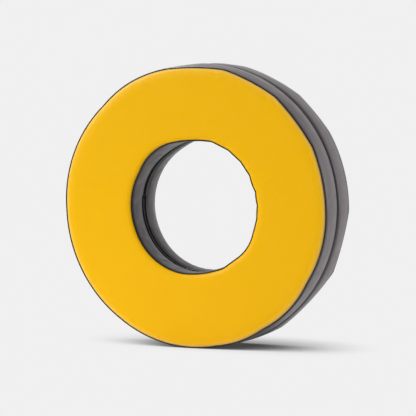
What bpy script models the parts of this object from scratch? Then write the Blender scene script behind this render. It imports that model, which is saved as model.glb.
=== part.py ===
"""Tackle wheel: a soft foam ring in a sewn vinyl cover, rolled upright for tackling practice.

The wheel's axis lies along Y, its front face looks to -Y, and it stands on the floor at Z = 0 with
the origin under its middle. Two foam slabs, glued side by side, fill a cover of two face panels,
two rim bands and two bore bands. Piping runs in the four seams round the faces. A zip in the groove
of the bore closes the cover, and a black tape covers the rest of the seam there. The zip's slider
runs round the wheel's axis and its pull swings on the slider.

Turned pieces are drawn as a profile of (radius, height) points and spun about their own Z, which
is then laid along the wheel's axis, so that height counts from the middle of the wheel towards
the front. Round the wheel, angles count from the lowest point of the ring towards -X.
"""

import math

import bmesh
import bpy
from mathutils import Matrix, Vector

# The ring, in metres
OUTER_RADIUS = 0.6096
BORE_RADIUS = 0.2858
WIDTH = 0.2794
SHOULDER_RADIUS = 0.024
RIM_CROWN = 0.002
BORE_CROWN = 0.0015
FLOOR_FLAT_DEPTH = 0.0045

# The groove that the rim's middle seam draws into the foam
RIM_VALLEY_DEPTH = 0.009
RIM_VALLEY_HALF_WIDTH = 0.024

# The wider groove round the bore, which holds the zip
GROOVE_DEPTH = 0.005
GROOVE_SLOPE = 0.012
SLOT_HALF_WIDTH = 0.022
SLOT_BORDER = 0.003

# The cover's skins, seams, piping and the tape over the bore's middle seam
SKIN_THICKNESS = 0.0012
FIT_GAP = 0.0003
SEAM_ANGLE = math.radians(30.0)
RIM_SEAM_ALLOWANCE = 0.010
BORE_SEAM_ALLOWANCE = 0.003
PIPING_RADIUS = 0.0026
SEAM_TAPE_WIDTH = 0.026
SEAM_TAPE_END_GAP = 0.002

# The zip
ZIP_LENGTH = 0.430
ZIP_CLOSED_END = math.radians(13.0)
SLOT_END_GAP = 0.001
TAPE_THICKNESS = 0.0008
TAPE_TUCK = 0.005
TOOTH_PITCH = 0.006
TOOTH_HEIGHT = 0.0034
TOOTH_TAPER = 0.6
TOOTH_REACH = 0.0012
TOOTH_ROOT = 0.0016
TOOTH_BACK = 0.005
STOP_LENGTH = 0.004
STOP_BEVEL = 0.0005

# The slider and its pull
SLIDER_LENGTH = 0.020
SLIDER_NOSE_WIDTH = 0.0156
SLIDER_TAIL_WIDTH = 0.0136
SLIDER_SHOULDER_LENGTH = 0.0045
SLIDER_NOSE_BEVEL = 0.0025
SLIDER_PLATE = 0.0016
SLIDER_CLEARANCE = 0.0008
SLIDER_SIDE_CLEARANCE = 0.0006
SLIDER_FLANGE = 0.0014
SLIDER_PARK_GAP = 0.002
BAIL_LENGTH = 0.0112
BAIL_WIDTH = 0.003
BAIL_SLOT_HEIGHT = 0.0026
BAIL_SLOT_LENGTH = 0.0082
BAIL_ROOF = 0.001
PULL_LENGTH = 0.030
PULL_WIDTH = 0.009
PULL_THICKNESS = 0.0014
PULL_HOLE_WIDTH = 0.0044
PULL_HOLE_CLEARANCE = 0.0004
PULL_LIFT = math.radians(2.0)

# Facets
RING_SEGMENTS = 48
ZIP_STEP = math.radians(3.0)
PIPING_SIDES = 6
PULL_TIP_FACETS = 6
SHARP_ANGLE = math.radians(35.0)

# Worked out from the sizes above
CENTRE_HEIGHT = OUTER_RADIUS - FLOOR_FLAT_DEPTH
HALF_WIDTH = WIDTH / 2
HALF_GAP = FIT_GAP / 2
FOAM_INSET = SKIN_THICKNESS + FIT_GAP
PIPING_LIFT = PIPING_RADIUS - SKIN_THICKNESS
SEAM_HALF_GAP = math.sqrt((PIPING_RADIUS + FIT_GAP) ** 2 - PIPING_LIFT ** 2)
SEAM_START = SEAM_ANGLE - SEAM_HALF_GAP / SHOULDER_RADIUS
SEAM_END = SEAM_ANGLE + SEAM_HALF_GAP / SHOULDER_RADIUS
SHOULDER_MIDDLE = (SEAM_END + math.pi / 2) / 2
GROOVE_FLOOR_HALF = SLOT_HALF_WIDTH + SLOT_BORDER
GROOVE_HALF = GROOVE_FLOOR_HALF + GROOVE_SLOPE
BAND_RADIUS = BORE_RADIUS + BORE_CROWN
BORE_FACET_SAG = BAND_RADIUS * (1 - math.cos(math.pi / RING_SEGMENTS))
GROOVE_FACET_RADIUS = (BAND_RADIUS + GROOVE_DEPTH) * math.cos(math.pi / RING_SEGMENTS)

TAPE_DEPTH = GROOVE_DEPTH + SKIN_THICKNESS + FIT_GAP
TAPE_OUTER_EDGE = SLOT_HALF_WIDTH + TAPE_TUCK
TAPE_INNER_EDGE = TOOTH_BACK + FIT_GAP
TOOTH_MIDDLE_DEPTH = TAPE_DEPTH + TAPE_THICKNESS / 2
TOOTH_TOP_DEPTH = TOOTH_MIDDLE_DEPTH - TOOTH_HEIGHT / 2
TOOTH_BOTTOM_DEPTH = TOOTH_MIDDLE_DEPTH + TOOTH_HEIGHT / 2
TEETH_RADIUS = BAND_RADIUS + TOOTH_MIDDLE_DEPTH
DEEPEST_IN_GROOVE = max(TOOTH_BOTTOM_DEPTH, GROOVE_DEPTH + BORE_SEAM_ALLOWANCE)
FOAM_GROOVE_DEPTH = DEEPEST_IN_GROOVE + BORE_FACET_SAG + 2 * FIT_GAP

ZIP_OPEN_END = ZIP_CLOSED_END + ZIP_LENGTH / TEETH_RADIUS
SLOT_START = ZIP_CLOSED_END - SLOT_END_GAP / TEETH_RADIUS
SLOT_END = ZIP_OPEN_END + SLOT_END_GAP / TEETH_RADIUS
STOP_ANGLE = STOP_LENGTH / TEETH_RADIUS
PITCH_ANGLE = TOOTH_PITCH / TEETH_RADIUS

SLIDER_UNDERSIDE = BAND_RADIUS + TOOTH_TOP_DEPTH - SLIDER_CLEARANCE
SLIDER_TOP = SLIDER_UNDERSIDE - SLIDER_PLATE
PULL_AXIS_RADIUS = SLIDER_TOP - BAIL_SLOT_HEIGHT / 2
PULL_HOLE_END = math.hypot(BAIL_LENGTH / 2, BAIL_SLOT_HEIGHT / 2 + BAIL_ROOF) + PULL_HOLE_CLEARANCE
PARK_ANGLE = ZIP_CLOSED_END + (SLIDER_LENGTH / 2 + STOP_LENGTH + SLIDER_PARK_GAP) / TEETH_RADIUS


def clear_scene():
    """Remove every object and leftover mesh."""
    for obj in list(bpy.data.objects):
        bpy.data.objects.remove(obj, do_unlink=True)
    for mesh in list(bpy.data.meshes):
        bpy.data.meshes.remove(mesh)


def collection(name):
    """A new collection in the scene."""
    made = bpy.data.collections.new(name)
    bpy.context.scene.collection.children.link(made)
    return made


def linear(hex_colour):
    """An sRGB hex colour as a linear RGBA tuple."""
    channels = [int(hex_colour[i:i + 2], 16) / 255 for i in (1, 3, 5)]
    return tuple(c / 12.92 if c <= 0.04045 else ((c + 0.055) / 1.055) ** 2.4 for c in channels) + (1.0,)


def finish(name, hex_colour, roughness, metallic=0.0):
    """A Principled material."""
    material = bpy.data.materials.new(name)
    material.use_nodes = True
    shader = material.node_tree.nodes["Principled BSDF"]
    shader.inputs["Base Color"].default_value = linear(hex_colour)
    shader.inputs["Roughness"].default_value = roughness
    shader.inputs["Metallic"].default_value = metallic
    material.diffuse_color = linear(hex_colour)
    return material


def add_object(name, mesh, parts, material):
    """An object of this mesh, at the middle of the wheel."""
    obj = bpy.data.objects.new(name, mesh)
    parts.objects.link(obj)
    obj.location = (0, 0, CENTRE_HEIGHT)
    if material:
        mesh.materials.append(material)
    return obj


def to_mesh(name, bm, smooth=True):
    """Close a bmesh into a mesh whose faces point outwards."""
    bmesh.ops.recalc_face_normals(bm, faces=bm.faces)
    mesh = bpy.data.meshes.new(name)
    bm.to_mesh(mesh)
    bm.free()
    if smooth:
        mesh.shade_smooth()
        mesh.set_sharp_from_angle(angle=SHARP_ANGLE)
    return mesh


# Profiles of the turned pieces

def outer_shoulder(inset, angles):
    """Points round the shoulder between face and rim; 0 is on the face and 90 degrees on the rim."""
    radius = SHOULDER_RADIUS - inset
    middle = OUTER_RADIUS - RIM_CROWN - SHOULDER_RADIUS
    height = HALF_WIDTH - SHOULDER_RADIUS
    return [(middle + radius * math.sin(a), height + radius * math.cos(a)) for a in angles]


def bore_shoulder(inset, angles):
    """Points round the shoulder between face and bore; 0 is on the face and 90 degrees in the bore."""
    radius = SHOULDER_RADIUS - inset
    middle = BAND_RADIUS + SHOULDER_RADIUS
    height = HALF_WIDTH - SHOULDER_RADIUS
    return [(middle - radius * math.sin(a), height + radius * math.cos(a)) for a in angles]


def rim_crown_point(inset):
    """The highest point of a rim band, half way between its shoulder and the middle seam."""
    return OUTER_RADIUS - inset, (HALF_WIDTH - SHOULDER_RADIUS + RIM_VALLEY_HALF_WIDTH) / 2


def bore_crown_point(inset):
    """The lowest point of a bore band, half way between its shoulder and the groove."""
    return BORE_RADIUS + inset, (HALF_WIDTH - SHOULDER_RADIUS + GROOVE_HALF) / 2


def face_panel_profile():
    """A face panel from its bore seam out to its rim seam."""
    return bore_shoulder(0, (SEAM_START, 0)) + outer_shoulder(0, (0, SEAM_START))


def rim_band_profile():
    """A rim band from the face seam to the middle seam, whose allowance turns in towards the foam."""
    valley_floor = OUTER_RADIUS - RIM_CROWN - RIM_VALLEY_DEPTH
    return outer_shoulder(0, (SEAM_END, SHOULDER_MIDDLE, math.pi / 2)) + [
        rim_crown_point(0),
        (OUTER_RADIUS - RIM_CROWN, RIM_VALLEY_HALF_WIDTH),
        (OUTER_RADIUS - RIM_CROWN - RIM_VALLEY_DEPTH / 2, RIM_VALLEY_HALF_WIDTH / 2),
        (valley_floor, HALF_GAP),
        (valley_floor - RIM_SEAM_ALLOWANCE, HALF_GAP)]


def bore_band_profile():
    """A bore band from the allowance of the middle seam, over the groove, to the face seam."""
    groove_floor = BAND_RADIUS + GROOVE_DEPTH
    return [
        (groove_floor + BORE_SEAM_ALLOWANCE, HALF_GAP),
        (groove_floor, HALF_GAP),
        (groove_floor, GROOVE_FLOOR_HALF),
        (BAND_RADIUS, GROOVE_HALF),
        bore_crown_point(0)] + bore_shoulder(0, (math.pi / 2, SHOULDER_MIDDLE, SEAM_END))


def foam_profile():
    """A foam slab, whose edges follow the skins all round and are cut back for the seams and zip."""
    groove_floor = BAND_RADIUS + FOAM_GROOVE_DEPTH
    valley_depth = RIM_VALLEY_DEPTH + RIM_SEAM_ALLOWANCE
    room = (SKIN_THICKNESS + FIT_GAP) * valley_depth / RIM_VALLEY_HALF_WIDTH + 2 * FIT_GAP
    valley_floor = OUTER_RADIUS - RIM_CROWN - valley_depth - room
    shoulder = (0, SEAM_START, SEAM_END, SHOULDER_MIDDLE, math.pi / 2)
    return [
        (groove_floor, HALF_GAP),
        (groove_floor, TAPE_OUTER_EDGE + 2 * FIT_GAP),
        (BAND_RADIUS + FOAM_INSET, GROOVE_HALF),
        bore_crown_point(FOAM_INSET)] + bore_shoulder(FOAM_INSET, reversed(shoulder)) + outer_shoulder(
        FOAM_INSET, shoulder) + [
        rim_crown_point(FOAM_INSET),
        (OUTER_RADIUS - RIM_CROWN - FOAM_INSET, RIM_VALLEY_HALF_WIDTH),
        (valley_floor, HALF_GAP)]


def piping_profile(shoulder):
    """The round bead of piping that stands in a face seam."""
    seat_radius, seat_height = shoulder(-PIPING_LIFT, (SEAM_ANGLE,))[0]
    turns = [-i * 2 * math.pi / PIPING_SIDES for i in range(PIPING_SIDES)]
    return [(seat_radius + PIPING_RADIUS * math.cos(a), seat_height + PIPING_RADIUS * math.sin(a))
            for a in turns]


def mirrored(profile):
    """The same profile for the rear half, still running the same way round."""
    return [(radius, -height) for radius, height in reversed(profile)]


# Turned pieces

def turned(name, profile, closed, parts, material):
    """Turn a profile into a ring about the wheel's axis."""
    bm = bmesh.new()
    verts = [bm.verts.new((radius, 0, height)) for radius, height in profile]
    pairs = list(zip(verts, verts[1:]))
    if closed:
        pairs.append((verts[-1], verts[0]))
    for pair in pairs:
        bm.edges.new(pair)
    mesh = bpy.data.meshes.new(name)
    bm.to_mesh(mesh)
    bm.free()
    ring = add_object(name, mesh, parts, material)
    ring.rotation_euler.x = math.pi / 2
    screw = ring.modifiers.new("turn", "SCREW")
    screw.axis = "Z"
    screw.angle = 2 * math.pi
    screw.steps = RING_SEGMENTS
    screw.render_steps = RING_SEGMENTS
    screw.use_merge_vertices = True
    screw.merge_threshold = 0.00001
    return ring


def bake(obj):
    """Replace an object's mesh by what its modifiers make of it."""
    bpy.context.view_layer.update()
    evaluated = obj.evaluated_get(bpy.context.evaluated_depsgraph_get())
    mesh = bpy.data.meshes.new_from_object(evaluated)
    old = obj.data
    obj.modifiers.clear()
    obj.data = mesh
    bpy.data.meshes.remove(old)


def press_flat(ring, inset):
    """Flatten a ring where it bears on the floor, this far above the floor plane."""
    bake(ring)
    bm = bmesh.new()
    bm.from_mesh(ring.data)
    floor = inset - CENTRE_HEIGHT
    bmesh.ops.bisect_plane(bm, geom=bm.verts[:] + bm.edges[:] + bm.faces[:], dist=0.000001,
                           plane_co=(0, floor, 0), plane_no=(0, 1, 0))
    for vert in bm.verts:
        vert.co.y = max(vert.co.y, floor)
    bm.to_mesh(ring.data)
    bm.free()


def solidify(skin):
    """Give a cover piece its thickness, inwards from the outer surface."""
    wall = skin.modifiers.new("skin", "SOLIDIFY")
    wall.thickness = SKIN_THICKNESS
    wall.offset = -1
    wall.use_even_offset = True


def subtract(obj, cutter):
    """Cut one object out of another."""
    cut = obj.modifiers.new("cut", "BOOLEAN")
    cut.operation = "DIFFERENCE"
    cut.object = cutter
    cut.solver = "EXACT"


def both_halves(name, profile, closed, parts, material):
    """The front ring and its mirror image at the rear."""
    front = turned(name + "_front", profile, closed, parts, material)
    rear = turned(name + "_rear", mirrored(profile), closed, parts, material)
    return front, rear


def foam_slabs(parts, material):
    """The two foam slabs, glued together at the middle of the wheel."""
    for slab in both_halves("foam_slab", foam_profile(), True, parts, material):
        press_flat(slab, FOAM_INSET)


def face_panels(parts, material):
    """The two flat rings of the cover."""
    for panel in both_halves("face_panel", face_panel_profile(), False, parts, material):
        solidify(panel)


def rim_bands(parts, material):
    """The two strips round the outside, flattened where the wheel stands."""
    for band in both_halves("rim_band", rim_band_profile(), False, parts, material):
        press_flat(band, 0)
        solidify(band)


def bore_bands(parts, material, slot_cutter):
    """The two strips round the bore, with the zip's slot between them."""
    for band in both_halves("bore_band", bore_band_profile(), False, parts, material):
        solidify(band)
        subtract(band, slot_cutter)


def pipings(parts, material):
    """The four beads of piping round the faces."""
    both_halves("rim_piping", piping_profile(outer_shoulder), True, parts, material)
    both_halves("bore_piping", piping_profile(bore_shoulder), True, parts, material)


# The zip

def hoop(radii, sides, angles, steps):
    """A bmesh of part of a flat hoop round the wheel's axis."""
    inner, outer = radii
    low, high = sides
    start, end = angles
    place = (Matrix.Rotation(start, 4, "Y")
             @ Matrix.Translation((0, (low + high) / 2, -(inner + outer) / 2))
             @ Matrix.Rotation(math.pi / 2, 4, "Y")
             @ Matrix.Diagonal((outer - inner, high - low, 1, 1)))
    bm = bmesh.new()
    bmesh.ops.create_grid(bm, x_segments=1, y_segments=1, size=0.5, matrix=place)
    bmesh.ops.spin(bm, geom=bm.verts[:] + bm.edges[:] + bm.faces[:], axis=(0, 1, 0), cent=(0, 0, 0),
                   angle=end - start, steps=steps)
    bmesh.ops.recalc_face_normals(bm, faces=bm.faces)
    return bm


def sector(name, radii, sides, angles, parts, material):
    """Part of a flat hoop round the wheel's axis, between two radii, two sides and two angles."""
    steps = max(1, math.ceil((angles[1] - angles[0]) / ZIP_STEP))
    return add_object(name, to_mesh(name, hoop(radii, sides, angles, steps)), parts, material)


def slot_cutter(cutters):
    """The space that the zip takes out of both bore bands."""
    floor = BAND_RADIUS + GROOVE_DEPTH
    depth = BORE_SEAM_ALLOWANCE + SKIN_THICKNESS + BORE_FACET_SAG + FIT_GAP
    cutter = sector("zip_slot_cutter", (floor - depth, floor + depth), (-SLOT_HALF_WIDTH, SLOT_HALF_WIDTH),
                    (SLOT_START, SLOT_END), cutters, None)
    cutter.hide_render = True
    cutter.display_type = "WIRE"
    return cutter


def bore_seam_tape(parts, material):
    """The tape sewn over the bore's middle seam, from one end of the zip round to the other."""
    outer = GROOVE_FACET_RADIUS - FIT_GAP
    gap = SEAM_TAPE_END_GAP / GROOVE_FACET_RADIUS
    sector("bore_seam_tape", (outer - TAPE_THICKNESS, outer), (-SEAM_TAPE_WIDTH / 2, SEAM_TAPE_WIDTH / 2),
           (SLOT_END + gap, SLOT_START - gap + 2 * math.pi), parts, material)


def zip_tapes(parts, material):
    """The two woven tapes, tucked under the bore bands at their sides and ends."""
    inner = BAND_RADIUS + TAPE_DEPTH
    tuck = TAPE_TUCK / TEETH_RADIUS
    ends = (SLOT_START - tuck, SLOT_END + tuck)
    radii = (inner, inner + TAPE_THICKNESS)
    sector("zip_tape_front", radii, (-TAPE_OUTER_EDGE, -TAPE_INNER_EDGE), ends, parts, material)
    sector("zip_tape_rear", radii, (TAPE_INNER_EDGE, TAPE_OUTER_EDGE), ends, parts, material)


def tooth_row(name, side, start, count, parts, material):
    """One row of teeth: a bead along its tape, every other facet of which is drawn out into a tooth.

    A tooth tapers to its head, which reaches past the middle between two teeth of the other row.
    """
    root = side * TOOTH_ROOT
    sides = sorted((root, side * TOOTH_BACK))
    radii = (TEETH_RADIUS - TOOTH_HEIGHT / 2, TEETH_RADIUS + TOOTH_HEIGHT / 2)
    bm = hoop(radii, sides, (start, start + count * PITCH_ANGLE), 2 * count)
    bm.faces.ensure_lookup_table()
    inner_sides = [f for f in bm.faces if abs(f.calc_center_median().y - root) < FIT_GAP]
    for face in inner_sides:
        middle = face.calc_center_median()
        facet = int((math.atan2(-middle.x, -middle.z) - start) / (PITCH_ANGLE / 2))
        if facet % 2 == 0:
            head = bmesh.ops.extrude_discrete_faces(bm, faces=[face])["faces"][0]
            along = Vector((-middle.z, 0, middle.x)).normalized()
            for vert in head.verts:
                offset = (vert.co - middle).dot(along)
                vert.co -= along * offset * (1 - TOOTH_TAPER)
                vert.co.y = -side * TOOTH_REACH
    return add_object(name, to_mesh(name, bm, smooth=False), parts, material)


def zip_teeth(parts, material):
    """The two rows of teeth, each half a pitch from the other, between the stops."""
    start = ZIP_CLOSED_END + STOP_ANGLE + FIT_GAP / TEETH_RADIUS
    end = ZIP_OPEN_END - STOP_ANGLE - FIT_GAP / TEETH_RADIUS
    count = int((end - start) / PITCH_ANGLE - 0.5)
    tooth_row("zip_teeth_front", -1, start, count, parts, material)
    tooth_row("zip_teeth_rear", 1, start + PITCH_ANGLE / 2, count, parts, material)


def zip_stop(name, sides, angle, parts, material):
    """One moulded stop across this span of the zip."""
    low, high = sides
    place = (Matrix.Rotation(angle, 4, "Y")
             @ Matrix.Translation((0, (low + high) / 2, -TEETH_RADIUS))
             @ Matrix.Diagonal((STOP_LENGTH, high - low, TOOTH_HEIGHT, 1)))
    bm = bmesh.new()
    made = bmesh.ops.create_cube(bm, size=1, matrix=place)
    bmesh.ops.bevel(bm, geom=made["verts"] + bm.edges[:], offset=STOP_BEVEL, affect="EDGES", segments=1,
                    profile=0.5, material=-1)
    return add_object(name, to_mesh(name, bm, smooth=False), parts, material)


def zip_stops(parts, material):
    """A stop on each tape at the closed end, and one across both at the other end."""
    closed = ZIP_CLOSED_END + STOP_ANGLE / 2
    zip_stop("zip_top_stop_front", (-TOOTH_BACK, -FIT_GAP), closed, parts, material)
    zip_stop("zip_top_stop_rear", (FIT_GAP, TOOTH_BACK), closed, parts, material)
    zip_stop("zip_bottom_stop", (-TOOTH_BACK, TOOTH_BACK), ZIP_OPEN_END - STOP_ANGLE / 2, parts, material)


# The slider and its pull, drawn lying flat with +X towards the closed end and +Z towards the wheel's axis

def block(name, size, centre, cutters):
    """A box cutter."""
    bm = bmesh.new()
    bmesh.ops.create_cube(bm, size=1, matrix=Matrix.Translation(centre) @ Matrix.Diagonal((*size, 1)))
    cutter = add_object(name, to_mesh(name, bm, smooth=False), cutters, None)
    cutter.hide_render = True
    cutter.display_type = "WIRE"
    return cutter


def extruded(bm, outline, low, high):
    """A flat outline in X and Y, pulled up from one height to another."""
    face = bm.faces.new([bm.verts.new((x, y, low)) for x, y in outline])
    top = bmesh.ops.extrude_face_region(bm, geom=[face])["geom"]
    verts = [item for item in top if isinstance(item, bmesh.types.BMVert)]
    bmesh.ops.translate(bm, vec=(0, 0, high - low), verts=verts)


def slider_outline():
    """The slider from above: shoulders wide at the nose, drawn in to the tail."""
    half, nose, tail = SLIDER_LENGTH / 2, SLIDER_NOSE_WIDTH / 2, SLIDER_TAIL_WIDTH / 2
    shoulder = half - SLIDER_NOSE_BEVEL
    waist = shoulder - SLIDER_SHOULDER_LENGTH
    tip = nose - SLIDER_NOSE_BEVEL / 2
    return [(-half, -tail), (waist, -tail), (shoulder, -nose), (half, -tip),
            (half, tip), (shoulder, nose), (waist, tail), (-half, tail)]


def zip_slider(parts, cutters, material):
    """The slider: a plate with side flanges round the teeth, and a bail on top for the pull."""
    bm = bmesh.new()
    top = -SLIDER_TOP
    underside = -SLIDER_UNDERSIDE
    extruded(bm, slider_outline(), underside - SLIDER_FLANGE, top)
    body = add_object("zip_slider", to_mesh("zip_slider", bm), parts, material)
    channel_half = TOOTH_BACK + SLIDER_SIDE_CLEARANCE
    channel = block("slider_channel_cutter", (SLIDER_LENGTH * 2, channel_half * 2, SLIDER_FLANGE * 2),
                    (0, 0, underside - SLIDER_FLANGE), cutters)
    bail_height = BAIL_SLOT_HEIGHT + BAIL_ROOF
    sunk = SLIDER_PLATE / 2
    bail = block("slider_bail", (BAIL_LENGTH, BAIL_WIDTH, bail_height + sunk),
                 (0, 0, top + (bail_height - sunk) / 2), cutters)
    slot = block("bail_slot_cutter", (BAIL_SLOT_LENGTH, BAIL_WIDTH * 2, BAIL_SLOT_HEIGHT),
                 (0, 0, top + BAIL_SLOT_HEIGHT / 2), cutters)
    subtract(body, channel)
    join = body.modifiers.new("bail", "BOOLEAN")
    join.operation = "UNION"
    join.object = bail
    join.solver = "EXACT"
    subtract(body, slot)
    body.rotation_euler.y = PARK_ANGLE
    for cutter in (channel, bail, slot):
        cutter.rotation_euler.y = PARK_ANGLE
    return body


def pull_outline():
    """The pull from above, round at its free end, with its bar on the hinge axis."""
    bar = PULL_THICKNESS / 2
    half = PULL_WIDTH / 2
    tip = PULL_LENGTH - bar - half
    turns = [math.pi * (i / PULL_TIP_FACETS - 0.5) for i in range(PULL_TIP_FACETS + 1)]
    return [(-bar, half), (-bar, -half)] + [(tip + half * math.cos(a), half * math.sin(a)) for a in turns]


def zip_pull(parts, cutters, material, slider):
    """The pull, a flat tab whose end bar lies through the bail and whose tip lies on the seam tape."""
    bm = bmesh.new()
    extruded(bm, pull_outline(), -PULL_THICKNESS / 2, PULL_THICKNESS / 2)
    tab = add_object("zip_pull", to_mesh("zip_pull", bm), parts, material)
    bar = PULL_THICKNESS / 2
    hole = block("pull_hole_cutter", (PULL_HOLE_END - bar, PULL_HOLE_WIDTH, PULL_THICKNESS * 2),
                 ((PULL_HOLE_END + bar) / 2, 0, 0), cutters)
    subtract(tab, hole)
    for piece in (tab, hole):
        piece.parent = slider
        piece.location = (0, 0, -PULL_AXIS_RADIUS)
        piece.rotation_euler.y = -PULL_LIFT


def main():
    """Build the wheel."""
    clear_scene()
    parts = collection("tackle_wheel")
    cutters = collection("cutters")
    yellow = finish("yellow_vinyl", "#F1B901", 0.38)
    grey = finish("grey_vinyl", "#7C7678", 0.5)
    black = finish("black_piping_vinyl", "#1E1A1B", 0.5)
    foam = finish("polyurethane_foam", "#D9D3B8", 0.95)
    tape = finish("polyester_tape", "#17161A", 0.9)
    teeth = finish("zip_teeth_acetal", "#1B1A1D", 0.45)
    metal = finish("slider_black_zinc", "#26252A", 0.4, metallic=0.8)
    foam_slabs(parts, foam)
    face_panels(parts, yellow)
    rim_bands(parts, grey)
    bore_bands(parts, grey, slot_cutter(cutters))
    pipings(parts, black)
    bore_seam_tape(parts, tape)
    zip_tapes(parts, tape)
    zip_teeth(parts, teeth)
    zip_stops(parts, teeth)
    slider = zip_slider(parts, cutters, metal)
    zip_pull(parts, cutters, metal, slider)


main()
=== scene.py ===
"""The looks of a tackle wheel: a soft foam ring in a sewn vinyl cover, with piping and a zip in its bore.

The wheel's axis lies along Y and its front face looks to -Y. Round the wheel, angles count from the
lowest point of the ring towards -X, and a section of the ring is drawn as (radius, height) points,
where height counts from the middle of the wheel towards one face. Angles called polar are in degrees
and count from +X up towards +Z. All sizes are in metres.
"""

import logging
import math
from dataclasses import dataclass, field
from enum import Enum
from functools import cache
from typing import Any, Callable

import bmesh
import bpy
import numpy as np
from mathutils import Matrix, Vector


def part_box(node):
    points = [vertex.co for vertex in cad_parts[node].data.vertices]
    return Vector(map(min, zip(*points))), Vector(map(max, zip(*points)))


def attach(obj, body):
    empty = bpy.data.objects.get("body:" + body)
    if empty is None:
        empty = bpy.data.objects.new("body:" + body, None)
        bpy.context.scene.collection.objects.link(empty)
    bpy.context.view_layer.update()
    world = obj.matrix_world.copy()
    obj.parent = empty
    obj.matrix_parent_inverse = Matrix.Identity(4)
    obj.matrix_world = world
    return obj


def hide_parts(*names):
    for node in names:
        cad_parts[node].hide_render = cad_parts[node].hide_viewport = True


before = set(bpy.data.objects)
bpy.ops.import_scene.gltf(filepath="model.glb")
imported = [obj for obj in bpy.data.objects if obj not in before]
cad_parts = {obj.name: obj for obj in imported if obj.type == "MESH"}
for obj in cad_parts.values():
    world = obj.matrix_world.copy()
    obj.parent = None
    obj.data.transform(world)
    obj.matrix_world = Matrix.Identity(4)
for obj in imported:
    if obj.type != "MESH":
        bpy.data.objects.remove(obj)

Array = np.ndarray
Pair = tuple[float, float]
Triple = tuple[float, float, float]
Socket = bpy.types.NodeSocket

LOG = logging.getLogger("tackle_wheel")
WHEEL, SLIDER, PULL = "wheel", "slider", "pull"
SKINS = ("bore_band", "face_panel", "rim_band")
MM = 0.001
TAPE_TUCK = 0.005         # how far the zip's tapes reach under the edges of its slot
SAME_PLACE = 1e-6         # corners nearer to one another than this are merged
STATION_GROWTH = 1.35     # each cell of a skin is this much longer than the last, away from a seam
CREASE_FALL = 1.5         # how a crease and its shade fade: between a cusp at 1 and a bell at 2
FOLD_RIPPLE = 1.6         # how soon a fold turns into the shallow hollows beside it
LEAST_LIFT = 1e-9         # stands in for no lift at all, where a lift divides
PLASTIC_IOR = 1.53
NOISE_RANGE = (0.3, 0.7)  # the levels that smooth noise mostly keeps to
WHITE = (1.0, 1.0, 1.0, 1.0)


class Side(Enum):
    """The two halves of the wheel, with the sign of Y on each."""

    FRONT = -1
    REAR = 1

    def named(self, piece: str) -> str:
        """The name of a piece on this side."""
        return f"{piece}_{self.name.lower()}"


def from_polar(polar: float) -> float:
    """Turn a polar angle into one round the wheel, in radians."""
    return math.radians(-90.0 - polar) % math.tau


def turn_from(polar: float, angle: Array) -> Array:
    """How far round the wheel, either way, each angle lies from a polar one."""
    return np.mod(angle - from_polar(polar) + math.pi, math.tau) - math.pi


def radii_of(node: str, centre: float) -> Pair:
    """The smallest and the largest distance of a solid's corners from the wheel's axis."""
    found = [math.hypot(v.co.x, v.co.z - centre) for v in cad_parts[node].data.vertices]
    return min(found), max(found)


def angles_of(node: str, centre: float) -> Pair:
    """The angles round the wheel between which a solid lies."""
    found = [math.atan2(-v.co.x, centre - v.co.z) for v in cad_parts[node].data.vertices]
    return min(found), max(found)


def length_along(line: Array) -> Array:
    """How far along a line each of its points lies."""
    return np.concatenate([[0.0], np.cumsum(np.linalg.norm(np.diff(line, axis=0), axis=1))])


def linear(hex_colour: str) -> tuple[float, float, float, float]:
    """Turn an sRGB hex colour into linear light."""
    channels = [int(hex_colour[i:i + 2], 16) / 255 for i in (1, 3, 5)]
    levels = [c / 12.92 if c <= 0.04045 else ((c + 0.055) / 1.055) ** 2.4 for c in channels]
    return levels[0], levels[1], levels[2], 1.0


# Finishes


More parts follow.
